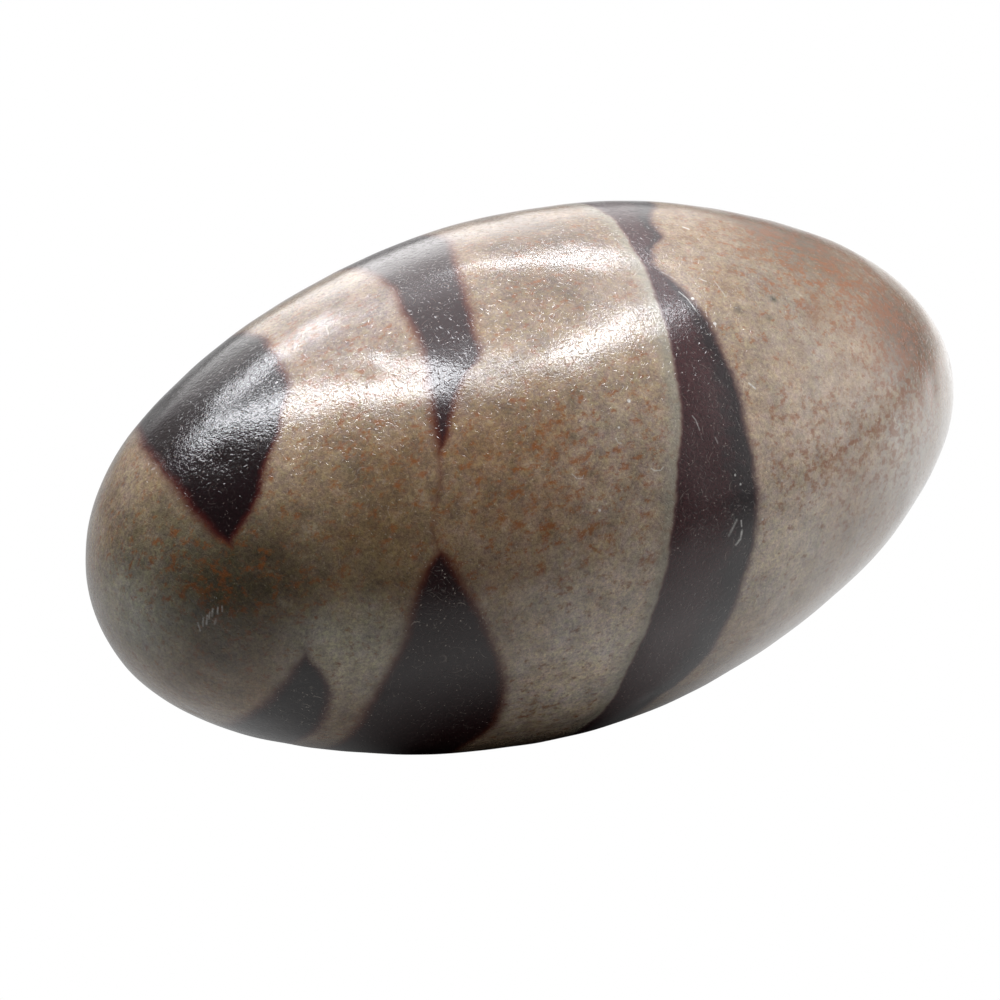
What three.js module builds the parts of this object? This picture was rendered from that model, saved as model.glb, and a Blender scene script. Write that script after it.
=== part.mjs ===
// A river-tumbled, hand-polished lingam stone lying on its side: one solid egg of banded
// sandstone and jasper. Millimetres, +Z up. The long axis runs along X, the blunter end is at -X,
// and the origin is on the resting surface under the middle of the stone.

import * as THREE from "three";
import { mergeVertices } from "three/addons/utils/BufferGeometryUtils.js";

// Driving dimensions
const LENGTH = 90; // end to end, along X
const WIDTH = 49; // across the waist, along Y
const HEIGHT = 48.6; // through the waist, along Z, before the resting patch is worn flat
const WORN_DEPTH = 0.4; // how much of the belly is worn away where the stone rests

// How the waist swells or draws in towards the ends, as shares of the plain egg's thickness.
// The station runs from -1 at the blunt end to 1 at the slimmer end.
const SHOULDER_DRAWN_IN = 0.13; // grows with the square: leaner shoulders beside the waist
const BLUNT_END_FULLER = 0.065; // grows with the cube: fuller at -X, slimmer at +X
const ENDS_ROUNDED_OUT = 0.1; // grows with the fourth power: fills the last of each end

// Faceting
const SEGMENTS_AROUND = 72;
const RINGS_ALONG = 52;

const STONE_COLOUR = 0x8b7f73; // weathered taupe, the colour between the dark bands
const STONE_ROUGHNESS = 0.42; // a soft hand polish over fine grain

// The worn patch, measured up from the long axis.
const RESTING_LEVEL = WORN_DEPTH - HEIGHT / 2;

// The share of a plain egg's thickness that the stone has at a station.
function swell(station) {
  return (
    1 -
    SHOULDER_DRAWN_IN * station ** 2 -
    BLUNT_END_FULLER * station ** 3 +
    ENDS_ROUNDED_OUT * station ** 4
  );
}

// Moves a point of the unit sphere to the surface of the stone. The sphere's poles are on X, so
// its x is the station. The stone is then lifted until its worn patch lies at z = 0.
function ontoStone(point) {
  const share = swell(point.x);
  const x = (point.x * LENGTH) / 2;
  const y = (point.y * share * WIDTH) / 2;
  const z = (point.z * share * HEIGHT) / 2;
  return point.set(x, y, Math.max(z, RESTING_LEVEL) - RESTING_LEVEL);
}

function stoneGeometry() {
  const sphere = new THREE.SphereGeometry(1, SEGMENTS_AROUND, RINGS_ALONG);
  sphere.rotateZ(Math.PI / 2);
  sphere.deleteAttribute("normal");
  sphere.deleteAttribute("uv");
  const egg = mergeVertices(sphere);
  const positions = egg.getAttribute("position");
  const point = new THREE.Vector3();
  for (let i = 0; i < positions.count; i++) {
    ontoStone(point.fromBufferAttribute(positions, i));
    positions.setXYZ(i, point.x, point.y, point.z);
  }
  egg.computeVertexNormals();
  return egg;
}

const polishedStone = new THREE.MeshStandardMaterial({
  color: STONE_COLOUR,
  roughness: STONE_ROUGHNESS,
  metalness: 0,
});

const stone = new THREE.Mesh(stoneGeometry(), polishedStone);
stone.name = "stone";

const lingam = new THREE.Group();
lingam.add(stone);

export default lingam;
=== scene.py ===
# %% [markdown]
# # A lingam stone in Blender
# A lingam stone is a long river pebble: fine sandstone and jasper, rolled by the water into an
# egg and then rubbed with oil and cloth until it has a soft gloss. What makes one stone differ
# from the next is colour: dark iron-rich bands that wrap a taupe body. The stone is modelled as
# one smooth mesh. Its bands, specks and grain live in a procedural material, so they stay sharp
# at any distance and need no picture.

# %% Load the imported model
import math

import bpy
import numpy as np
from mathutils import Matrix, Vector, noise


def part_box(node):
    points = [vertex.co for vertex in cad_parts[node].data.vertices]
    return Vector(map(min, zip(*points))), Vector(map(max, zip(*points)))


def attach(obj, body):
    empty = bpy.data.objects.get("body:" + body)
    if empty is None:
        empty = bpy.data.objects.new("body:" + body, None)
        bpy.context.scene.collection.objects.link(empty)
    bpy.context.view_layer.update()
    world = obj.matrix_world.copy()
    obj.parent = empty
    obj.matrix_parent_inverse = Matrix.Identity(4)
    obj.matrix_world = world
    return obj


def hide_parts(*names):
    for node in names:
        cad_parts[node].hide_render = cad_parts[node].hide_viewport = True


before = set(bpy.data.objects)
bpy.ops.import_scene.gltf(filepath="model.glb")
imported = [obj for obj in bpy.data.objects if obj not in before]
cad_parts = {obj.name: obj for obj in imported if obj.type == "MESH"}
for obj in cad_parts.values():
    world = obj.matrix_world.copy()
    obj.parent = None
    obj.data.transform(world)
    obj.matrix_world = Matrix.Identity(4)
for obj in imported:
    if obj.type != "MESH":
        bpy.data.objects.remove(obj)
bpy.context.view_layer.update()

# %% [markdown]
# ## Units
# The stone is easiest to think about in millimetres, and Blender works in metres. Everything
# that is placed below is written in millimetres and multiplied by `MM` once, where it is used.

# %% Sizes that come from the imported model
MM = 0.001
stone_low, stone_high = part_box("stone")
LENGTH = (stone_high[0] - stone_low[0]) / MM
WIDTH = (stone_high[1] - stone_low[1]) / MM
WORN_DEPTH = 0.4  # the belly is worn flat by this much where the stone rests
HEIGHT = (stone_high[2] - stone_low[2]) / MM + WORN_DEPTH
AXIS_HEIGHT = HEIGHT / 2 - WORN_DEPTH  # the long axis above the table
print(f"stone {LENGTH:.1f} x {WIDTH:.1f} x {HEIGHT:.1f} mm, axis {AXIS_HEIGHT:.1f} mm up")

# %% [markdown]
# ## The egg
# A river pebble is close to an ellipsoid. This one is fuller at its -X end and slimmer at its +X
# end. A sphere primitive that is scaled would miss that, and sculpting it would be hard to
# repeat, so each ring of the mesh gets its radius from a formula: a plain ellipse times a slow
# swell. A place on the stone is named by its station, in millimetres along the axis, and by its
# angle round the axis, in degrees: 0 is the top and 90 faces the camera's side.

# %% Where a point of the skin lies
SHOULDER_DRAWN_IN = 0.13
BLUNT_END_FULLER = 0.065
ENDS_ROUNDED_OUT = 0.1


def on_skin(station, angle):
    """The point of the smooth stone at a station (mm) and angle (degrees), in mm from its middle."""
    t = np.clip(2 * np.asarray(station) / LENGTH, -1, 1)
    swell = 1 - SHOULDER_DRAWN_IN * t**2 - BLUNT_END_FULLER * t**3 + ENDS_ROUNDED_OUT * t**4
    share = np.sqrt(1 - t**2) * swell
    around = np.radians(angle)
    x = t * LENGTH / 2 + 0 * around
    y = -np.sin(around) * share * WIDTH / 2
    z = np.cos(around) * share * HEIGHT / 2
    return np.stack([x, y, z], axis=-1)


print("front of the waist, mm:", on_skin(0, 90).round(1))

# %% [markdown]
# ## The hand-rubbed surface
# No hand-finished pebble is a perfect egg. Rubbing leaves slow, shallow waves, and the river
# leaves small dents. Both are far too small to change the outline, but they bend the edge of
# every reflection, which is what tells the eye that this is stone and not plastic. They are made
# by moving the mesh's own points in or out, because a dent that is only painted by a bump map
# vanishes at the edge of the stone.

# %% Shallow waves and river dents
WAVE_HEIGHT = 0.16  # mm, over about a centimetre
WAVE_LENGTH = 11.0
RIPPLE_HEIGHT = 0.045
RIPPLE_LENGTH = 3.2
DENT_COUNT = 90
DENT_DEPTHS = (0.03, 0.1)
DENT_RADII = (0.7, 2.0)
DENTS_REACH = 0.47  # share of the length, to each side of the middle
FLAT_ABOVE = 1.5  # mm above the table over which the relief fades out, so the rest stays flat


def relief(points):
    """How far each point of the skin moves in or out, in mm."""
    height = np.array(
        [
            WAVE_HEIGHT * noise.noise(Vector(p) / WAVE_LENGTH)
            + RIPPLE_HEIGHT * noise.noise(Vector(p) / RIPPLE_LENGTH)
            for p in points
        ]
    )
    rng = np.random.default_rng(11)
    stations = rng.uniform(-DENTS_REACH, DENTS_REACH, DENT_COUNT) * LENGTH
    centres = on_skin(stations, rng.uniform(-180, 180, DENT_COUNT))
    depths = rng.uniform(*DENT_DEPTHS, DENT_COUNT)
    radii = rng.uniform(*DENT_RADII, DENT_COUNT)
    for centre, depth, radius in zip(centres, depths, radii):
        away = ((points - centre) ** 2).sum(axis=1)
        height -= depth * np.exp(-away / radius**2)
    above_table = points[:, 2] + AXIS_HEIGHT
    return height * np.clip(above_table / FLAT_ABOVE, 0, 1)


def roughened(points):
    """Points of the smooth stone, moved in or out by the relief."""
    outward = points / np.array([LENGTH, WIDTH, HEIGHT]) ** 2
    outward /= np.linalg.norm(outward, axis=1, keepdims=True)
    return points + outward * relief(points)[:, None]


print("relief at the front of the waist, mm:", relief(on_skin([0.0], [90.0])).round(3))

# %% [markdown]
# ## The mesh
# Rings of points run along the axis, closer together towards the two ends, and each end closes
# in a single point. About one point every 0.4 mm is fine enough for the dents.

# %% Build the stone's mesh
RINGS = 270
AROUND = 340


def stone_mesh():
    """The mesh of the stone, in metres, resting on the table."""
    tilt = np.linspace(0, math.pi, RINGS + 2)[1:-1]
    stations = np.repeat(-np.cos(tilt) * LENGTH / 2, AROUND)
    angles = np.tile(np.arange(AROUND) * 360 / AROUND, RINGS)
    ends = on_skin(np.array([-LENGTH / 2, LENGTH / 2]), np.zeros(2))
    points = roughened(np.vstack([on_skin(stations, angles), ends]))
    points[:, 2] = np.maximum(points[:, 2], -AXIS_HEIGHT)
    points[:, 2] += AXIS_HEIGHT

    faces = []
    first_end = RINGS * AROUND
    for k in range(AROUND):
        after = (k + 1) % AROUND
        faces.append((first_end, k, after))
        last = (RINGS - 1) * AROUND
        faces.append((last + after, last + k, first_end + 1))
        for ring in range(RINGS - 1):
            here = ring * AROUND
            ahead = here + AROUND
            faces.append((here + k, ahead + k, ahead + after, here + after))
    mesh = bpy.data.meshes.new("banded_lingam")
    mesh.from_pydata((points * MM).tolist(), [], faces)
    mesh.shade_smooth()
    mesh.update()
    return mesh


lingam = bpy.data.objects.new("banded_lingam", stone_mesh())
bpy.context.scene.collection.objects.link(lingam)
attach(lingam, "root")
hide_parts("stone")
print(len(lingam.data.polygons), "faces")

# %% [markdown]
# ## The material's tools
# A procedural material is a graph of small nodes. Two helpers are enough to write one down: the
# first turns a colour as an artist writes it into the linear values that light is reckoned in,
# and the second adds one node, sets it, and wires its inputs. It adds to whichever graph the name
# `graph` holds, so the table and the room can use it later. A third prints how the graph grows.

# %% Colour and node helpers
def srgb(code):
    """A colour written as sRGB hex, as linear RGBA."""
    channels = [int(code[i : i + 2], 16) / 255 for i in (1, 3, 5)]
    linear = [c / 12.92 if c <= 0.04045 else ((c + 0.055) / 1.055) ** 2.4 for c in channels]
    return (*linear, 1.0)


banded_stone = bpy.data.materials.new("hand_rubbed_banded_sandstone")
banded_stone.use_nodes = True
graph = banded_stone.node_tree
graph.nodes.clear()


def add(kind, inputs=(), output=0, **settings):
    """Adds a node, sets it, wires or fills its inputs, and gives back one of its outputs."""
    made = graph.nodes.new("ShaderNode" + kind)
    for name, value in settings.items():
        setattr(made, name, value)
    pairs = inputs.items() if isinstance(inputs, dict) else enumerate(inputs)
    for socket, value in pairs:
        if isinstance(value, bpy.types.NodeSocket):
            graph.links.new(value, made.inputs[socket])
        else:
            made.inputs[socket].default_value = value
    return made.outputs[output] if made.outputs else made


def tell(step):
    """Prints how large the graph is after a step."""
    print(f"{step}: {len(graph.nodes)} nodes so far")


print("material:", banded_stone.name)

# %% [markdown]
# ## Where am I on the stone?
# The bands are rings that run round the axis, so the material first works out the same two
# numbers as the mesh did: the station along the axis and the angle round it. `mm_place` is the
# place in millimetres, measured from the middle of the stone, and all grain is drawn in it, so
# that a scale of 2 means two features to the millimetre.

# %% Station and angle
object_place = add("TexCoord", output="Object")
mm_place = add(
    "VectorMath",
    [object_place, (1 / MM, 1 / MM, 1 / MM), (0, 0, -AXIS_HEIGHT)],
    operation="MULTIPLY_ADD",
)
place_split = add("SeparateXYZ", [mm_place])
axes = place_split.node.outputs
toward_camera = add("Math", [axes["Y"], -1.0], operation="MULTIPLY")
angle = add("Math", [toward_camera, axes["Z"]], operation="ARCTAN2")
turn_share = add("MapRange", {"Value": angle, "From Min": -math.pi, "From Max": math.pi})
tell("station and angle")

# %% [markdown]
# ## The dark bands
# Each band is stained sandstone: iron came in along a bed of the rock, so its two edges are soft
# and ragged over a fraction of a millimetre, and they wander where the bed did. Each edge is a
# smooth curve of station against angle, through listed places on the side that shows.
# Where a band's left edge passes its right one, the band pinches out, which gives the wedges.
# The hidden side carries each ring on in a plausible sweep.

# %% Band edges, as (angle in degrees, station in millimetres)
CAP_BAND_LEFT = [
    (-180, -37.0), (-120, -36.0), (-60, -35.4), (-30, -37.6), (-15, -38.75), (0, -39.05),
    (15, -39.1), (30, -38.9), (38, -38.5), (45, -37.9), (51, -36.9), (60, -35.4), (75, -34.2),
    (89, -33.4), (97, -34.3), (105, -35.1), (120, -36.3), (135, -37.0), (180, -37.0),
]
CAP_BAND_RIGHT = [
    (-180, -30.5), (-120, -27.0), (-60, -24.8), (-30, -25.2), (-15, -25.2), (-7, -25.8),
    (0, -26.3), (10, -27.1), (15, -28.3), (22, -30.0), (30, -32.1), (38, -33.7), (45, -35.7),
    (51, -37.0), (60, -37.4), (75, -35.8), (89, -33.4), (94, -32.5), (98, -31.6), (105, -30.9),
    (120, -30.8), (135, -31.25), (180, -30.5),
]
MIDDLE_BAND_LEFT = [
    (-180, -26.0), (-150, -22.0), (-120, -18.5), (-75, -15.2), (-30, -14.1), (-12, -14.4),
    (0, -14.9), (6, -15.6), (15, -16.0), (22, -16.8), (30, -17.8), (37, -18.7), (43, -19.3),
    (46, -19.3), (52, -19.95), (58, -20.9), (63, -21.5), (66, -21.4), (70, -22.7), (75, -23.8),
    (80, -24.5), (90, -25.6), (97, -26.5), (105, -27.5), (120, -28.3), (140, -28.7), (180, -26.0),
]
MIDDLE_BAND_RIGHT = [
    (-180, -16.5), (-150, -13.5), (-120, -10.0), (-75, -6.2), (-30, -5.3), (-15, -5.7),
    (-7, -6.8), (0, -8.2), (8, -9.3), (15, -10.4), (22, -11.3), (27, -12.0), (30, -14.0),
    (35, -15.8), (40, -17.1), (44, -18.4), (46, -19.3), (52, -20.15), (58, -21.2), (63, -21.75),
    (66, -21.6), (68, -20.9), (72, -20.2), (80, -19.3), (90, -17.8), (97, -16.8), (105, -16.1),
    (112, -15.8), (120, -15.8), (135, -16.7), (180, -16.5),
]
RIGHT_BAND_LEFT = [
    (-180, -2.0), (-150, 3.0), (-120, 7.0), (-75, 9.6), (-40, 10.0), (-20, 9.6), (-7, 9.1),
    (0, 8.75), (6, 8.1), (11, 7.6), (17, 7.2), (25, 6.3), (35, 5.3), (45, 4.05), (55, 2.9),
    (65, 1.15), (75, 0.0), (85, -1.2), (90, -2.0), (97, -2.8), (105, -3.9), (112, -4.6),
    (120, -4.8), (135, -5.6), (160, -5.0), (180, -2.0),
]
RIGHT_BAND_RIGHT = [
    (-180, 2.5), (-150, 7.5), (-120, 12.0), (-75, 16.3), (-35, 17.2), (-18, 16.2), (-12, 15.4),
    (-7, 14.1), (-3, 12.8), (0, 12.1), (4, 11.8), (7, 11.6), (9, 10.5), (11, 9.4), (14, 8.7),
    (16, 8.1), (18, 8.3), (22, 8.8), (28, 9.5), (37, 9.8), (48, 9.9), (60, 9.55), (75, 9.1),
    (84, 8.6), (90, 7.8), (95, 7.05), (105, 5.8), (115, 4.2), (120, 2.9), (127, 0.6),
    (150, -0.5), (180, 2.5),
]
top_width = dict(RIGHT_BAND_RIGHT)[0] - dict(RIGHT_BAND_LEFT)[0]
print("right-hand band over the top, mm wide:", round(top_width, 2))

# %% [markdown]
# The edges have to be ragged, so the station is shaken a little before it is compared with them:
# slowly over a few millimetres, and then grain by grain, since the stain creeps between the
# sand grains. The two noises come back later, for the hue of the stone and the relief.

# %% Shake the station, grain by grain
EDGE_WANDER = 0.9  # mm, over about 4 mm of edge
EDGE_FRAY = 0.55  # mm, over single grains
wander = add("TexNoise", {"Vector": mm_place, "Scale": 0.28, "Detail": 2.0})
fray = add("TexNoise", {"Vector": mm_place, "Scale": 1.6, "Detail": 3.0, "Roughness": 0.7})
wander_shift = add("Math", [wander, EDGE_WANDER, -EDGE_WANDER / 2], operation="MULTIPLY_ADD")
fray_shift = add("Math", [fray, EDGE_FRAY, -EDGE_FRAY / 2], operation="MULTIPLY_ADD")
shaken = add("Math", [axes["X"], wander_shift], operation="ADD")
station = add("Math", [shaken, fray_shift], operation="ADD")
print("edges wander by up to, mm:", round((EDGE_WANDER + EDGE_FRAY) / 2, 2))

# %% [markdown]
# A curve node holds each edge, and subtracting it from the station tells how deep inside a band
# a place lies. The right-hand band has a softer right side, so depth counts for less from there.

# %% How deep inside each band
RIGHT_SIDE_SOFTNESS = 0.45


def edge_station(points):
    """The station of a band's edge at the angle that is being shaded, in mm."""
    drawn = add("FloatCurve", {"Value": turn_share})
    curve = drawn.node.mapping.curves[0]
    spots = [((a + 180) / 360, s / LENGTH + 0.5) for a, s in points]
    curve.points[0].location = spots[0]
    curve.points[-1].location = spots[-1]
    for spot in spots[1:-1]:
        curve.points.new(*spot)
    for handle in curve.points:
        handle.handle_type = "AUTO_CLAMPED"
    drawn.node.mapping.update()
    return add("Math", [drawn, LENGTH, -LENGTH / 2], operation="MULTIPLY_ADD")


def depth_in_band(left, right):
    """How deep inside a band the shaded point is, in mm: negative outside it."""
    past_left = add("Math", [station, edge_station(left)], operation="SUBTRACT")
    before_right = add("Math", [edge_station(right), station], operation="SUBTRACT")
    depth = add("Math", [past_left, before_right], operation="MINIMUM")
    return depth, past_left, before_right


cap_depth, _, _ = depth_in_band(CAP_BAND_LEFT, CAP_BAND_RIGHT)
middle_depth, _, _ = depth_in_band(MIDDLE_BAND_LEFT, MIDDLE_BAND_RIGHT)
_, past_left_edge, before_right_edge = depth_in_band(RIGHT_BAND_LEFT, RIGHT_BAND_RIGHT)
right_side_softened = add("Math", [before_right_edge, RIGHT_SIDE_SOFTNESS], operation="MULTIPLY")
right_depth = add("Math", [past_left_edge, right_side_softened], operation="MINIMUM")
tell("band depths")

# %% [markdown]
# ## The sandstone between the bands
# The body is a taupe sandstone. Its hue drifts over centimetres, because the bed it came from
# did: olive at the blunt end, warm brown round the waist, a greyer pink on top. Each drift is a
# soft round wash, laid at a place on the skin. A wash costs three nodes, and unlike plain noise it
# can be put where the real stone has it. Not every wash is hue. The pale washes along the lower
# front and at the low left end are painted light: they make the stone paler where the table gives
# little light. Three washes are so small that they make dark mineral spots. The last four tone the
# sides that don't show, and are darker than the body because the lamps light those sides
# strongly: partly the stone's tone, partly painted shade.

# %% Washes of hue and of painted light and shade, as (station, angle, reach in mm, strength, colour)
TAUPE = srgb("#a58e78")
# The pale washes low on the front are painted light, not hue.
HUE_AND_LIGHT_WASHES = [
    (18, 72, 22, 0.8, "#c9b29f"),
    (-40, 60, 14, 0.85, "#4a4632"),
    (-27, 66, 13, 0.75, "#7a6446"),
    (-14, 52, 15, 0.7, "#826448"),
    (-2, 62, 13, 0.5, "#a69689"),
    (-30, 92, 8, 0.7, "#eae2cc"),
    (-8, 103, 15, 0.85, "#fdebda"),
    (-20, 0, 12, 0.7, "#918380"),
    (0, 5, 16, 0.7, "#5c4941"),
    (27, 10, 13, 0.8, "#57422b"),
    (34, 46, 10, 0.85, "#5a3716"),
    (-44, 74, 8, 0.8, "#cfc9b6"),
    (-42, 34, 9, 0.7, "#837764"),
    (-25, 47, 9, 0.5, "#685135"),
    (-35, 58, 8, 0.6, "#3d3525"),
    (12, 92, 10, 0.6, "#f0e2d3"),
    (18, 30, 13, 0.5, "#796f62"),
    (30, 80, 10, 0.5, "#dcd4ca"),
]
DARK_SPOTS = [
    (18.3, 31, 0.7, 0.8, "#2e2a24"),
    (13.6, 32.5, 0.8, 0.6, "#3a352c"),
    (16.7, 36, 1.0, 0.4, "#3a352c"),
]
# Darker than the body: the tone of the hidden sides, and painted shade where the lamps light them
# strongly.
HIDDEN_SIDE_TONE_AND_SHADE = [
    (-20, -100, 34, 0.8, "#6c5d47"),
    (20, -100, 32, 0.8, "#7b6955"),
    (0, 180, 26, 0.6, "#7c6c5b"),
    (45, 0, 16, 0.6, "#7d6d5b"),
]


def lay_wash(under, station_mm, angle_deg, reach, strength, colour):
    """Tints a colour round one place of the skin, fading out at the reach."""
    spot = tuple(on_skin(station_mm, angle_deg))
    away = add("VectorMath", [mm_place, spot], output="Value", operation="DISTANCE")
    cover = add(
        "MapRange",
        {"Value": away, "From Min": reach, "From Max": 0, "To Max": strength},
        interpolation_type="SMOOTHSTEP",
    )
    return add("Mix", {0: cover, 6: under, 7: srgb(colour)}, output=2, data_type="RGBA")


washed_with_painted_light_and_shade = TAUPE
for wash in HUE_AND_LIGHT_WASHES + DARK_SPOTS + HIDDEN_SIDE_TONE_AND_SHADE:
    washed_with_painted_light_and_shade = lay_wash(washed_with_painted_light_and_shade, *wash)
print(len(HUE_AND_LIGHT_WASHES), "washes,", len(DARK_SPOTS), "spots")

# %% [markdown]
# On top of the drift come mottling a couple of millimetres across and the sand grains
# themselves, about a third of a millimetre, in lighter and darker shades. Noise hardly ever
# leaves the span from 0.3 to 0.7, so that span is stretched over the whole range of shades.

# %% Mottling and grain, lighter and darker
MOTTLE_SCALE = 0.45  # one patch to about 2 mm
GRAIN_SCALE = 3.2  # one grain to about 0.3 mm
SPAN = {"From Min": 0.3, "From Max": 0.7}
mottle = add(
    "TexNoise", {"Vector": mm_place, "Scale": MOTTLE_SCALE, "Detail": 4.0, "Roughness": 0.8}
)
grain = add(
    "TexNoise", {"Vector": mm_place, "Scale": GRAIN_SCALE, "Detail": 2.0, "Roughness": 0.95}
)
mottle_light = add("MapRange", {"Value": mottle, **SPAN, "To Min": 0.66, "To Max": 1.36})
grain_light = add("MapRange", {"Value": grain, **SPAN, "To Min": 0.7, "To Max": 1.37})
salt_light = add("Math", [mottle_light, grain_light], operation="MULTIPLY")
print("a mottled patch is", round(1 / MOTTLE_SCALE, 1), "mm, a grain", round(1 / GRAIN_SCALE, 2))

# %% [markdown]
# Groups of grains lean a little to green or to purple. The slim end of the stone is finer than
# the rest, so there the salting fades towards plain white, which leaves a colour as it is.

# %% Hue of the grains and the finer end
FINER_FROM = 8  # mm along the stone
FINEST_FROM = 28
green_share = add("MapRange", {"Value": fray, **SPAN, "To Min": 0.95, "To Max": 1.05})
blue_share = add("MapRange", {"Value": fray, **SPAN, "To Min": 1.1, "To Max": 0.9})
tint_light = add("CombineXYZ", [1.0, green_share, blue_share])
salted = add("VectorMath", {0: tint_light, "Scale": salt_light}, operation="SCALE")
finer_slope = {"From Min": FINER_FROM, "From Max": FINEST_FROM, "To Max": 0.45}
finer_end = add("MapRange", {"Value": axes["X"], **finer_slope})
salt = add("Mix", {0: finer_end, 6: salted, 7: (1.0, 1.0, 1.0, 1.0)}, output=2, data_type="RGBA")
tell("salt")

# %% [markdown]
# The washed colour is multiplied by a faint drift from cool to warm and then by the salt. Where
# the mottling is palest, the bed has a chalky blotch.

# %% Sandstone, drifted, salted and blotched
COOL = srgb("#f9fdff")
WARM = srgb("#fffbf2")
PALE_BLOTCH = srgb("#b9ae9c")
warmth = add("MapRange", {"Value": wander, "From Min": 0.35, "From Max": 0.65})
hue_drift = add("Mix", {0: warmth, 6: COOL, 7: WARM}, output=2, data_type="RGBA")
drifted = add(
    "Mix", {0: 1.0, 6: washed_with_painted_light_and_shade, 7: hue_drift}, output=2, data_type="RGBA", blend_type="MULTIPLY"
)
salted_stone = add(
    "Mix", {0: 1.0, 6: drifted, 7: salt}, output=2, data_type="RGBA", blend_type="MULTIPLY"
)
blotch_cover = add("MapRange", {"Value": mottle, "From Min": 0.6, "From Max": 0.76, "To Max": 0.45})
sandstone = add(
    "Mix", {0: blotch_cover, 6: salted_stone, 7: PALE_BLOTCH}, output=2, data_type="RGBA"
)
tell("sandstone")

# %% [markdown]
# ## Rust
# Grains of iron ore rust in place and stain their neighbours, so the body carries soft orange
# blots, about a millimetre across and drawn out a little along the stone. They crowd together
# in some places and are rare in others. The crowded places are written down like the washes.

# %% Where rust crowds, as (station, angle, reach in mm, crowding)
RUST_PLACES = [
    (-9, 62, 13, 0.07),
    (3, 52, 8, 0.03),
    (27, 8, 15, 0.12),
    (33, 50, 12, 0.12),
    (17, 70, 8, 0.11),
    (28, 82, 12, 0.11),
    (-22, 22, 9, 0.07),
    (-40, 62, 9, 0.08),
    (-27, -8, 7, 0.09),
]


def crowd(under, station_mm, angle_deg, reach, crowding):
    """Adds to a number round one place of the skin, fading out at the reach."""
    spot = tuple(on_skin(station_mm, angle_deg))
    away = add("VectorMath", [mm_place, spot], output="Value", operation="DISTANCE")
    more = add("MapRange", {"Value": away, "From Min": reach, "From Max": 0, "To Max": crowding})
    return add("Math", [under, more], operation="ADD")


# %% Rust blots
RUST = srgb("#945425")
ALONG_THE_STONE = (0.75, 1.0, 1.0)  # a share below 1 draws a pattern out along X
drawn_out = add("VectorMath", [mm_place, ALONG_THE_STONE], operation="MULTIPLY")
blots = add("TexNoise", {"Vector": drawn_out, "Scale": 1.3, "Detail": 3.0, "Roughness": 0.68})
crowded = blots
for place in RUST_PLACES:
    crowded = crowd(crowded, *place)
rust_cover = add(
    "MapRange",
    {"Value": crowded, "From Min": 0.52, "From Max": 0.74, "To Max": 0.72},
    interpolation_type="SMOOTHSTEP",
)
blotted = add("Mix", {0: rust_cover, 6: sandstone, 7: RUST}, output=2, data_type="RGBA")
print(len(RUST_PLACES), "places where rust crowds")

# %% [markdown]
# High on the slim end the rust also lies in broad smears. They follow the dark side of the
# mottling, so no further noise is needed. Dark specks, like ore, are strewn all over the body, and
# take the far end of the same noise as the blots, so a speck never lies in a blot.

# %% Rust smears and specks of ore
SMEAR_PLACE = (28, 12, 20, 1.0)  # station, angle, reach in mm, crowding
SPECK = srgb("#372c22")
smear_zone = crowd(0.0, *SMEAR_PLACE)
smears = add("MapRange", {"Value": mottle, "From Min": 0.5, "From Max": 0.34, "To Max": 0.7})
smear_cover = add("Math", [smears, smear_zone], operation="MULTIPLY")
smeared = add("Mix", {0: smear_cover, 6: blotted, 7: RUST}, output=2, data_type="RGBA")
speck_cover = add("MapRange", {"Value": blots, "From Min": 0.33, "From Max": 0.24, "To Max": 0.45})
rusted = add("Mix", {0: speck_cover, 6: smeared, 7: SPECK}, output=2, data_type="RGBA")
tell("rust")

# %% [markdown]
# ## Laying the bands on
# From outside to inside an edge goes through rust-brown, where the stain thins out, to a
# purple-black core that is itself fine grained. The middle band has the widest fringe. The
# right-hand band has the sharpest edges, and a pale halo runs along its left one.

# %% Pale halo, rusty rims and dark cores
HALO = srgb("#9c998a")
RIM = srgb("#571f1b")
MIDDLE_RIM = srgb("#622c1d")
# The two cores are shaded and lit copies of one dark core. The cap's core is painted darker because
# the lamp above lights it strongly, and the middle band's is painted lighter because only the table
# lights its lower wedges.
CAP_CORE_PAINTED_DARKER = srgb("#1d1012")
MIDDLE_CORE_PAINTED_LIGHTER = srgb("#2f1c1d")
RIGHT_RED = srgb("#402527")
RIGHT_DARK = srgb("#2b2224")
RIGHT_FRINGE = srgb("#6f4d49")
SOFT_EDGE = (0.55, 0.0, 1.0)  # mm: the rim reaches out, the core starts, the core is full
WIDE_EDGE = (0.75, 0.0, 1.0)
SHARP_EDGE = (0.4, -0.2, 0.3)
CORE_SHADES = (0.5, 1.7)
HALO_SHADES = (0.75, 1.3)
HALO_STARTS = -2.2  # mm past the left edge, so negative is outside the band
HALO_FULL = -0.4
HALO_ENDS = 0.3  # a little inside, under the band
RIM_FULL = 0.6  # share of the way to the full core at which the rim has its full colour
halo_slope = {"From Min": HALO_STARTS, "From Max": HALO_FULL, "To Max": 0.6}
halo_side = add(
    "MapRange", {"Value": past_left_edge, **halo_slope}, interpolation_type="SMOOTHSTEP"
)


def grained(colour, darkest, lightest):
    """A colour salted by the grain, between two shares of itself."""
    span = {"From Min": 0.25, "From Max": 0.75, "To Min": darkest, "To Max": lightest}
    light = add("MapRange", {"Value": grain, **span})
    return add(
        "Mix",
        {0: 1.0, 6: colour, 7: add("CombineXYZ", [light, light, light])},
        output=2,
        data_type="RGBA",
        blend_type="MULTIPLY",
    )


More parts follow.
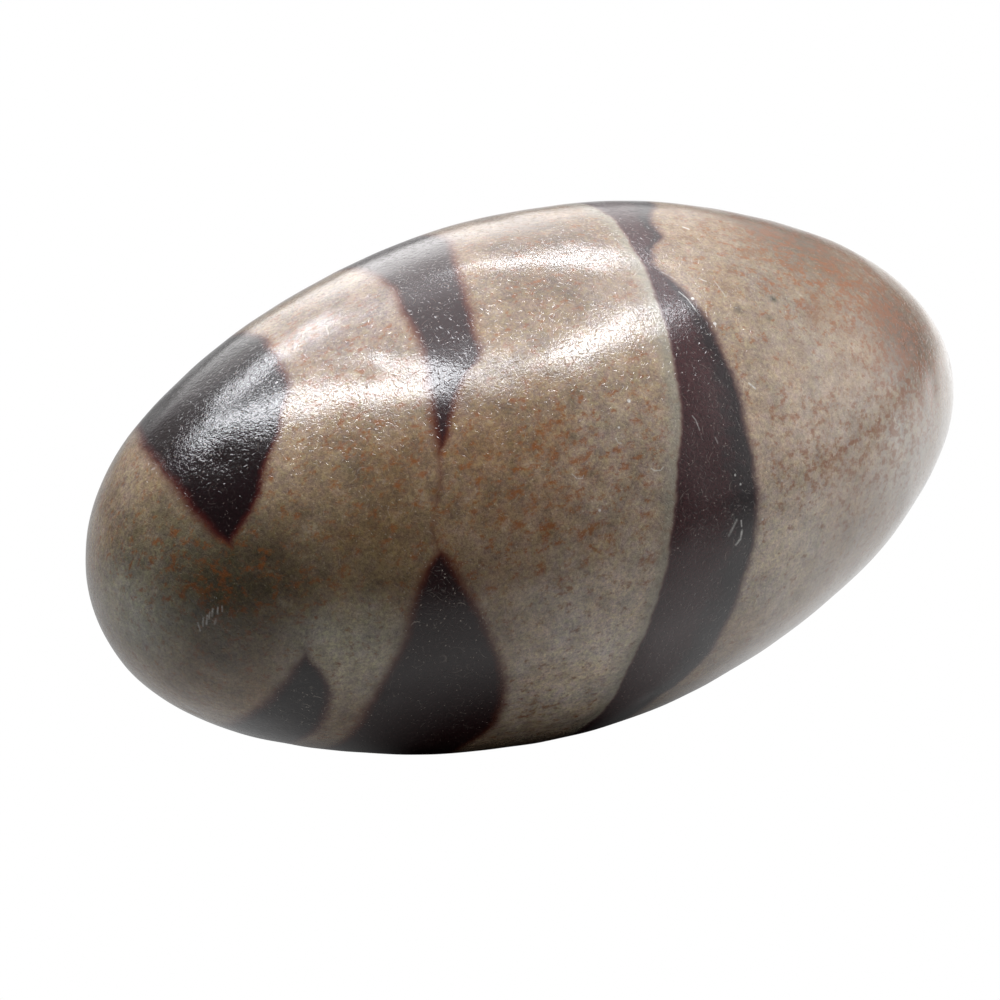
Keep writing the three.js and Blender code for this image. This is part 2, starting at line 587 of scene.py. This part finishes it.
def lay_band(under, depth, edge, core_colour, rim_colour):
    """Lays one band over a colour: first its stained rim, then its core."""
    rim_reach, core_start, core_full = edge
    rim = add(
        "MapRange",
        {"Value": depth, "From Min": -rim_reach, "From Max": core_full * RIM_FULL},
        interpolation_type="SMOOTHSTEP",
    )
    rimmed = add("Mix", {0: rim, 6: under, 7: rim_colour}, output=2, data_type="RGBA")
    core = add(
        "MapRange",
        {"Value": depth, "From Min": core_start, "From Max": core_full},
        interpolation_type="SMOOTHSTEP",
    )
    return add("Mix", {0: core, 6: rimmed, 7: core_colour}, output=2, data_type="RGBA")


haloed = add(
    "Mix", {0: halo_side, 6: rusted, 7: grained(HALO, *HALO_SHADES)}, output=2, data_type="RGBA"
)
left_of_band = add("Math", [past_left_edge, HALO_ENDS], operation="LESS_THAN")
body = add("Mix", {0: left_of_band, 6: rusted, 7: haloed}, output=2, data_type="RGBA")

# Painted shade on the cap's core, painted light on the middle band's core.
shaded_cap_core = grained(CAP_CORE_PAINTED_DARKER, *CORE_SHADES)
lit_middle_core = grained(MIDDLE_CORE_PAINTED_LIGHTER, *CORE_SHADES)
with_cap = lay_band(body, cap_depth, SOFT_EDGE, shaded_cap_core, RIM)
with_middle = lay_band(with_cap, middle_depth, WIDE_EDGE, lit_middle_core, MIDDLE_RIM)
tell("two bands")

# %% [markdown]
# The right-hand band isn't one colour: it goes from red-brown on its left side to charcoal on
# its right, and the mottling makes the change patchy.

# %% Two tones of the right-hand band
band_width = add("Math", [past_left_edge, before_right_edge], operation="ADD")
lopsided = add("Math", [past_left_edge, band_width], operation="DIVIDE")
patchy = add("Math", [mottle, lopsided], operation="ADD")
to_charcoal = add(
    "MapRange",
    {"Value": patchy, "From Min": 1.0, "From Max": 1.35},
    interpolation_type="SMOOTHSTEP",
)
two_tone = add(
    "Mix", {0: to_charcoal, 6: RIGHT_RED, 7: RIGHT_DARK}, output=2, data_type="RGBA"
)
right_core = grained(two_tone, *CORE_SHADES)
with_right = lay_band(with_middle, right_depth, SHARP_EDGE, right_core, RIGHT_FRINGE)
tell("three bands")

# %% [markdown]
# ## River marks
# Knocks against other pebbles and years of rubbing leave short curved strokes in every
# direction: hairlines half a millimetre long, and now and then a crescent of a millimetre or two.
# They come from a cell pattern. Each cell has a seed and a random colour, which is read as a
# direction. A sphere through the seed, with its centre in that direction, cuts the skin in an
# arc, and only the part near the seed is kept. The last digits of the colour's red have nothing
# to do with the direction, so they serve as the lot that says how strong the arc is.

# %% Short curved strokes
LOT = 0.2  # the red value is wrapped to the span from 0 to this


def strokes(scale, reach, half_width, bend, kept):
    """One short arc in most cells of a cell pattern: 1 on the arc, 0 off it. Sizes in mm."""
    cell = add("TexVoronoi", {"Vector": mm_place, "Scale": scale}, output="Position").node
    from_seed = add("VectorMath", [mm_place, cell.outputs["Position"]], operation="SUBTRACT")
    lean = add("VectorMath", [cell.outputs["Color"], (0.5, 0.5, 0.5)], operation="SUBTRACT")
    toward = add("VectorMath", [lean], operation="NORMALIZE")
    from_centre = add(
        "VectorMath", [toward, (bend, bend, bend), from_seed], operation="MULTIPLY_ADD"
    )
    radius = add("VectorMath", [from_centre], output="Value", operation="LENGTH")
    off_arc = add("Math", [radius, bend], operation="SUBTRACT")
    off_arc_size = add("Math", [off_arc], operation="ABSOLUTE")
    line = add("MapRange", {"Value": off_arc_size, "From Min": half_width, "From Max": 0.0})
    from_middle = add("VectorMath", [from_seed], output="Value", operation="LENGTH")
    ends = add("MapRange", {"Value": from_middle, "From Min": reach, "From Max": reach * 0.5})
    red = add("SeparateColor", [cell.outputs["Color"]])
    lot = add("Math", [red, LOT, 0.0], operation="WRAP")
    strength = add("MapRange", {"Value": lot, "From Min": kept * LOT, "From Max": 0.0})
    whole = add("Math", [line, ends], operation="MULTIPLY")
    return add("Math", [whole, strength], operation="MULTIPLY"), from_middle


hairlines, from_grain = strokes(scale=2.6, reach=0.3, half_width=0.045, bend=0.6, kept=1.0)
scratches, _ = strokes(scale=0.8, reach=0.55, half_width=0.045, bend=1.1, kept=0.8)
crescents, _ = strokes(scale=0.21, reach=1.0, half_width=0.09, bend=0.75, kept=0.7)
tell("strokes")

# %% [markdown]
# A stroke shows because crushed stone is paler than polished stone. The finest ones hardly show,
# and where the stone is scuffed all of them show more, except near the cap, where they are few.
# A few single grains are painted pale as well: partly pale grains, partly painted glints.

# %% Pale colour of the strokes, stronger where the stone is scuffed, and painted glints
SCUFFED = [(-32, 112, 7, 2.5), (-22, 84, 8, 1.5), (-39.6, 76, 3, 2.0), (6.6, 81, 3, 1.0)]
HAIRLINE_SHOWS = 0.085
SCRATCH_SHOWS = 0.25
CRESCENT_SHOWS = 0.13
NICK_AND_GLINT_PALE = srgb("#d6cabc")
DOT_OUTER = 0.09  # mm
DOT_INNER = 0.04
CAP_ENDS = -35  # mm along the stone
CLEAR_OF_CAP = -27
dot_fade = {"From Min": DOT_OUTER, "From Max": DOT_INNER, "To Max": 0.45}
# Painted glints: pale dots on bright grains stand for the sparkle of single grains, and some are
# pale grains.
dot = add("MapRange", {"Value": from_grain, **dot_fade})
bright_grain = add("MapRange", {"Value": grain, "From Min": 0.48, "From Max": 0.62})
pale_dot_and_painted_glint = add("Math", [dot, bright_grain], operation="MULTIPLY")
hairline_pale = add("Math", [hairlines, HAIRLINE_SHOWS], operation="MULTIPLY")
scratch_pale = add("Math", [scratches, SCRATCH_SHOWS], operation="MULTIPLY")
crescent_pale = add("Math", [crescents, CRESCENT_SHOWS], operation="MULTIPLY")
fine_pale = add("Math", [hairline_pale, pale_dot_and_painted_glint], operation="MAXIMUM")
line_pale = add("Math", [fine_pale, scratch_pale], operation="MAXIMUM")
any_pale = add("Math", [line_pale, crescent_pale], operation="MAXIMUM")
cap_fade = {"From Min": CAP_ENDS, "From Max": CLEAR_OF_CAP, "To Min": 0.4}
worn = add("MapRange", {"Value": axes["X"], **cap_fade})
for place in SCUFFED:
    worn = crowd(worn, *place)
nick_and_glint_pale = add("Math", [any_pale, worn], operation="MULTIPLY")
skin_colour = add("Mix", {0: nick_and_glint_pale, 6: with_right, 7: NICK_AND_GLINT_PALE}, output=2, data_type="RGBA")
tell("pale strokes")

# %% [markdown]
# ## Marks of this one stone
# A few marks are large enough to know the stone by: a scuff of short strokes side by side on the
# blunt end, another on the right-hand band, a scratch along that band's edge, and some curls
# and chips. Each is a run of places on the skin, joined by straight strokes. A stroke is the set
# of places that are nearer than its half width to the line between its two ends.

# %% Marks, as half the width in mm, strength, and (station, angle) places
MARKS = [
    (0.12, 1.0, [(-40.6, 79.0), (-40.5, 83.0)]),
    (0.12, 0.8, [(-40.2, 76.5), (-40.3, 80.5)]),
    (0.13, 1.0, [(-39.9, 75.3), (-40.05, 79.5)]),
    (0.12, 0.8, [(-39.7, 73.8), (-39.85, 77.0)]),
    (0.14, 0.7, [(-39.45, 72.4), (-39.6, 75.6)]),
    (0.12, 0.8, [(-39.1, 71.8), (-39.2, 74.6)]),
    (0.12, 0.6, [(-38.8, 71.6), (-38.85, 73.6)]),
    (0.16, 0.5, [(-39.35, 77.0), (-39.5, 79.2)]),
    (0.2, 0.45, [(6.7, 78.0), (5.7, 80.8)]),
    (0.12, 0.7, [(7.2, 78.5), (7.2, 79.8)]),
    (0.18, 0.85, [(7.2, 80.8), (7.0, 82.5), (6.5, 83.5)]),
    (0.11, 0.3, [(8.4, 19.0), (9.2, 21.8)]),
    (0.1, 0.6, [(8.7, 25.3), (9.05, 27.5), (9.2, 31.2)]),
    (0.1, 0.35, [(13.0, 24.0), (13.1, 28.8)]),
    (0.09, 0.55, [(-1.2, 61.5), (-0.9, 62.2), (-0.3, 62.5), (0.0, 62.0)]),
    (0.08, 0.45, [(-8.6, 58.0), (-8.3, 59.2), (-7.8, 59.5), (-7.6, 59.0)]),
    (0.08, 0.45, [(-3.7, 53.5), (-3.6, 54.5), (-3.3, 54.8)]),
    (0.09, 0.4, [(4.3, 53.5), (4.5, 54.5), (4.6, 56.8)]),
    (0.11, 0.25, [(6.0, 59.2), (6.1, 60.5)]),
    (0.13, 0.75, [(11.3, 50.0), (11.8, 51.5)]),
    (0.2, 0.85, [(14.8, 3.5), (15.1, 4.5)]),
    (0.13, 0.5, [(11.7, 23.0), (12.1, 23.8)]),
]

# %% Lay the marks
def lay_stroke(under, start, end, half_width, strength):
    """Adds one straight stroke between two places (mm) to a cover that runs from 0 to 1."""
    run = Vector(end) - Vector(start)
    from_start = add("VectorMath", [mm_place, tuple(start)], operation="SUBTRACT")
    per_run = tuple(run / run.length_squared)
    along = add("VectorMath", [from_start, per_run], output="Value", operation="DOT_PRODUCT")
    share = add("Math", [along, 1.0], operation="MULTIPLY", use_clamp=True)
    nearest = add("VectorMath", {0: tuple(run), "Scale": share}, operation="SCALE")
    away = add("VectorMath", [from_start, nearest], output="Value", operation="DISTANCE")
    fade = {"From Min": half_width, "From Max": 0, "To Max": strength}
    cover = add("MapRange", {"Value": away, **fade})
    return add("Math", [under, cover], operation="MAXIMUM")


mark_cover = 0.0
for half_width, strength, places in MARKS:
    line_places = roughened(on_skin(*np.array(places).T))
    for start, end in zip(line_places, line_places[1:]):
        mark_cover = lay_stroke(mark_cover, start, end, half_width, strength)
print(len(MARKS), "marks")

# %% [markdown]
# Chips are round and have a sharper edge than strokes. A mark is crushed grain by grain, so the
# grain pattern breaks it up.

# %% Chips, as (station, angle), radius in mm and strength
CHIPS = [
    ((-1.3, 46.8), 0.22, 0.8),
    ((-3.1, 51.5), 0.14, 0.7),
    ((7.2, 68.2), 0.14, 0.7),
    ((7.6, 70.5), 0.14, 0.7),
    ((-6.9, 67.0), 0.17, 0.6),
    ((9.6, 80.0), 0.16, 0.7),
    ((9.6, 27.8), 0.2, 0.9),
    ((10.4, 35.0), 0.22, 0.9),
    ((12.3, 73.0), 0.14, 0.6),
]
for place, radius, strength in CHIPS:
    spot = tuple(roughened(on_skin(*np.array([place]).T))[0])
    away = add("VectorMath", [mm_place, spot], output="Value", operation="DISTANCE")
    fade = {"From Min": radius, "From Max": radius / 2, "To Max": strength}
    chip = add("MapRange", {"Value": away, **fade})
    mark_cover = add("Math", [mark_cover, chip], operation="MAXIMUM")

chipped_grain = add("MapRange", {"Value": grain, "From Min": 0.36, "From Max": 0.56, "To Min": 0.45})
broken_cover = add("Math", [mark_cover, chipped_grain], operation="MULTIPLY")
MARK_PALE = srgb("#f7f4ee")
marked = add("Mix", {0: broken_cover, 6: skin_colour, 7: MARK_PALE}, output=2, data_type="RGBA")
print(len(CHIPS), "chips")

# %% [markdown]
# ## Polish
# Rubbed sandstone isn't glossy all over. The wax sits on the tops of the grains, and the gaps
# between them stay dull, so a highlight breaks up into a scaly sparkle. Fine bump does that
# work, with a roughness that changes from grain to grain. The sparkle is coarser towards the
# blunt end, so the scales rise to five times as high there. Even so, all of it stays within a few
# hundredths of a millimetre.

# %% Relief of the grain and strokes, in millimetres
WAIST_SCALES = 0.011
BLUNT_END_SCALES = 0.055
GRAIN_RELIEF = 0.01
HAIRLINE_DEPTH = 0.014
SCALES_RISE_FROM = -22  # mm along the stone
waist_side = {"From Min": SCALES_RISE_FROM, "To Min": WAIST_SCALES}
blunt_side = {"From Max": -LENGTH / 2, "To Max": BLUNT_END_SCALES}
scale_relief = add("MapRange", {"Value": axes["X"], **waist_side, **blunt_side})
scale_height = add("Math", [fray, scale_relief], operation="MULTIPLY")
grain_height = add("Math", [grain, GRAIN_RELIEF, scale_height], operation="MULTIPLY_ADD")
skin_height = add("Math", [hairlines, -HAIRLINE_DEPTH, grain_height], operation="MULTIPLY_ADD")
skin_normal = add("Bump", {"Strength": 1.0, "Distance": MM, "Height": skin_height})
gloss = add("MapRange", {"Value": grain, **SPAN, "To Min": 0.27, "To Max": 0.16})
tell("relief and gloss")

# %% [markdown]
# Stone isn't a metal, so Metallic stays at zero and the index of refraction sets how much it
# reflects: 1.54 for quartz, the main grain of sandstone, and 1.45 for the thin coat of wax. The
# coat is smoother than the grain under it, so a sharp highlight lies over a soft one.

# %% Put the stone's shader together
QUARTZ_IOR = 1.54
WAX_IOR = 1.45
shader = add(
    "BsdfPrincipled",
    {
        "Base Color": marked,
        "Roughness": gloss,
        "IOR": QUARTZ_IOR,
        "Normal": skin_normal,
        "Coat Weight": 1.0,
        "Coat Roughness": 0.1,
        "Coat IOR": WAX_IOR,
        "Coat Normal": skin_normal,
    },
)
add("OutputMaterial", {"Surface": shader})
lingam.data.materials.append(banded_stone)
print(len(graph.nodes), "nodes")

# %% [markdown]
# ## The table
# The stone lies on a white sheet that is lit so strongly that it has no shadow, as in a shop
# photograph. Two sheets share the work. The camera sees an evenly glowing one. Only the stone
# sees the other, which carries painted light and shadow: a painted shadow under the stone and in
# front of it, and painted pools of light, a wide one on the right and a faint one on the left.
# Those painted pools are what the stone's grazing reflections show.
# Both sheets are part of the picture but not of the object. They lie a hair below the stone's
# flat, because two faces at one level would flicker.

# %% Two sheets on the stage
def sheet(name, paint, size, level):
    """A large level sheet on the stage, whose paint gives off light of its own."""
    half = size / 2
    corners = [(-half, -half), (half, -half), (half, half), (-half, half)]
    mesh = bpy.data.meshes.new(name)
    mesh.from_pydata([(x * MM, y * MM, level * MM) for x, y in corners], [], [(0, 1, 2, 3)])
    made = bpy.data.objects.new(name, mesh)
    bpy.context.scene.collection.objects.link(made)
    material = bpy.data.materials.new(paint)
    material.use_nodes = True
    mesh.materials.append(material)
    coat = material.node_tree.nodes["Principled BSDF"]
    coat.inputs["Base Color"].default_value = (0.0, 0.0, 0.0, 1.0)
    coat.inputs["Roughness"].default_value = 1.0
    coat.inputs["Specular IOR Level"].default_value = 0.0
    coat.inputs["Emission Color"].default_value = srgb("#ffffff")
    coat.inputs["Emission Strength"].default_value = 1.0
    return made, material.node_tree, coat


seen_sheet, _, _ = sheet("seen_sheet", "glowing_white_sheet", size=4000, level=-0.02)
seen_sheet.visible_diffuse = False
seen_sheet.visible_glossy = False
seen_sheet.visible_shadow = False
felt_sheet, graph, felt_coat = sheet("felt_sheet", "sheet_with_painted_light_and_shadow", size=1000, level=-0.05)
felt_sheet.visible_camera = False
print("sheets:", seen_sheet.name, felt_sheet.name)

# %% [markdown]
# Each painted pool of light is brightest in its middle, falls to half at its reach, and has no
# edge. A dark spot under the stone is its painted shadow.

# %% Painted pools of light and a painted shadow on the second sheet
RIGHT_POOL = {"place": (115, 25, 0), "reach": 90, "glow": 1.25}
LEFT_POOL = {"place": (-110, 20, 0), "reach": 45, "glow": 0.35}
SHADE_PLACE = (-10, -12, 0)
SHADE_INNER = 8
SHADE_OUTER = 36
sheet_place = add("TexCoord", output="Object")


def pool(place, reach, glow):
    """A round painted pool of light on the sheet, in mm, that fades to half at its reach."""
    spot = tuple(v * MM for v in place)
    away = add("VectorMath", [sheet_place, spot], output="Value", operation="DISTANCE")
    in_reaches = add("Math", [away, 1 / (reach * MM)], operation="MULTIPLY")
    falloff = add("Math", [in_reaches, in_reaches, 1.0], operation="MULTIPLY_ADD")
    return add("Math", [glow, falloff], operation="DIVIDE")


pools = add("Math", [pool(**RIGHT_POOL), pool(**LEFT_POOL)], operation="ADD")
# The painted shadow: the sheet's glow fades out close under the stone and in front of it.
shade_spot = tuple(v * MM for v in SHADE_PLACE)
from_shade = add("VectorMath", [sheet_place, shade_spot], output="Value", operation="DISTANCE")
outside_painted_shadow = add(
    "MapRange",
    {"Value": from_shade, "From Min": SHADE_INNER * MM, "From Max": SHADE_OUTER * MM},
    interpolation_type="SMOOTHSTEP",
)
glow = add("Math", [pools, outside_painted_shadow], operation="MULTIPLY")
graph.links.new(glow, felt_coat.inputs["Emission Strength"])
tell("pools")

# %% [markdown]
# ## Camera
# The photograph looks down at 30 degrees onto the stone's side, from the blunt end's side, with
# a long lens. The camera aims a little below and left of the stone's middle, which sets the
# stone where the photograph has it in the frame.

# %% Camera
CAMERA_AZIMUTH = math.radians(-31.0)
CAMERA_ELEVATION = math.radians(30.0)
CAMERA_DISTANCE = 380
LENS = 146.4
AIM_LEFT = 3.4
AIM_BELOW = 2.5
camera_data = bpy.data.cameras.new("camera")
camera_data.lens = LENS
camera_data.sensor_width = 36
camera = bpy.data.objects.new("camera", camera_data)
bpy.context.scene.collection.objects.link(camera)
bpy.context.scene.camera = camera
back = Vector(
    (
        math.sin(CAMERA_AZIMUTH) * math.cos(CAMERA_ELEVATION),
        -math.cos(CAMERA_AZIMUTH) * math.cos(CAMERA_ELEVATION),
        math.sin(CAMERA_ELEVATION),
    )
)
right = Vector((math.cos(CAMERA_AZIMUTH), math.sin(CAMERA_AZIMUTH), 0))
up = back.cross(right)
middle = Vector((0, 0, AXIS_HEIGHT))
camera.location = (middle + back * CAMERA_DISTANCE) * MM
aim = (middle - right * AIM_LEFT - up * AIM_BELOW) * MM
camera.rotation_euler = (aim - camera.location).to_track_quat("-Z", "Y").to_euler()
camera_data.clip_start = 0.01
camera_data.clip_end = 20
print("camera at, mm:", [round(v / MM) for v in camera.location])

# %% [markdown]
# ## Light
# The highlight on the stone is a rounded loop: a soft overhead panel with tubes round its rim,
# brighter there than in its middle. One dim light fills the panel, and a bar light runs from
# each corner of the rim to the next. The corners are where the photograph's loop turns, traced
# back from the stone to the panel.

# %% Overhead panel with a bright rim
PANEL_CENTRE = Vector((70, 240, 424))
PANEL_TURN = math.radians(-59)
RIM_CORNERS = [
    (-290, -192), (170, -190), (290, -150), (320, -60), (300, 30), (235, 140),
    (150, 215), (50, 258), (-60, 250), (-180, 205), (-320, 160), (-340, 40), (-290, -80),
]
RIM_WIDTH = 50
RIM_RADIANCE = 19.0
PANEL_RADIANCE = 0.5
COOL_WHITE = (0.98, 1.0, 1.04)


def light_bar(name, start, end, width, radiance):
    """A downward area light between two places on the panel, with an even radiance."""
    run = Vector(end) - Vector(start)
    middle_place = (Vector(end) + Vector(start)) / 2
    data = bpy.data.lights.new(name, "AREA")
    data.shape = "RECTANGLE"
    data.size = run.length * MM
    data.size_y = width * MM
    data.energy = radiance * math.pi * data.size * data.size_y
    data.color = COOL_WHITE
    lamp = bpy.data.objects.new(name, data)
    turned = Matrix.Rotation(PANEL_TURN, 2) @ middle_place
    lamp.location = (PANEL_CENTRE + turned.to_3d()) * MM
    lamp.rotation_euler = (0, 0, PANEL_TURN + math.atan2(run.y, run.x))
    bpy.context.scene.collection.objects.link(lamp)


light_bar("panel_fill", (-300, 25), (290, 25), 400, PANEL_RADIANCE)
for start, end in zip(RIM_CORNERS, RIM_CORNERS[1:] + RIM_CORNERS[:1]):
    light_bar("rim_bar", start, end, RIM_WIDTH, RIM_RADIANCE)
print(len(RIM_CORNERS), "rim bars")

# %% [markdown]
# The rest of the room is dim, with a pale wall on the right, another behind, and a bright strip
# low behind the stone. They give the soft veils near its outline.

# %% Pale walls on the right and behind, dim room in front
ROOM_DIM = srgb("#2a2927")
world = bpy.data.worlds.new("room")
bpy.context.scene.world = world
world.use_nodes = True
graph = world.node_tree
graph.nodes.clear()
looking = add("TexCoord", output="Generated")


def wall_glow(direction, radiance, tightness):
    """Light from round one direction of the room, fading out smoothly."""
    toward = tuple(Vector(direction).normalized())
    along = add("VectorMath", [looking, toward], output="Value", operation="DOT_PRODUCT")
    ahead = add("Math", [along, 0.0], operation="MAXIMUM")
    lobe = add("Math", [ahead, tightness], operation="POWER")
    return add("Math", [lobe, radiance], operation="MULTIPLY")


right_wall = wall_glow((0.97, -0.24, 0.12), 1.07, 6.0)
back_wall = wall_glow((0.4, 0.75, 0.53), 0.7, 5.0)
horizon = wall_glow((0.34, 0.94, 0.04), 1.5, 24.0)
upper_walls = add("Math", [right_wall, back_wall], operation="ADD")
walls = add("Math", [upper_walls, horizon], operation="ADD")
lit_room = add("Math", [walls, ROOM_DIM[0]], operation="ADD")
add("OutputWorld", {"Surface": add("Background", {"Color": (1, 1, 1, 1), "Strength": lit_room})})
tell("room")

# %% [markdown]
# ## Picture
# The plain view transform keeps the white table white, as in a shop photograph.

# %% View transform
bpy.context.scene.view_settings.view_transform = "Standard"
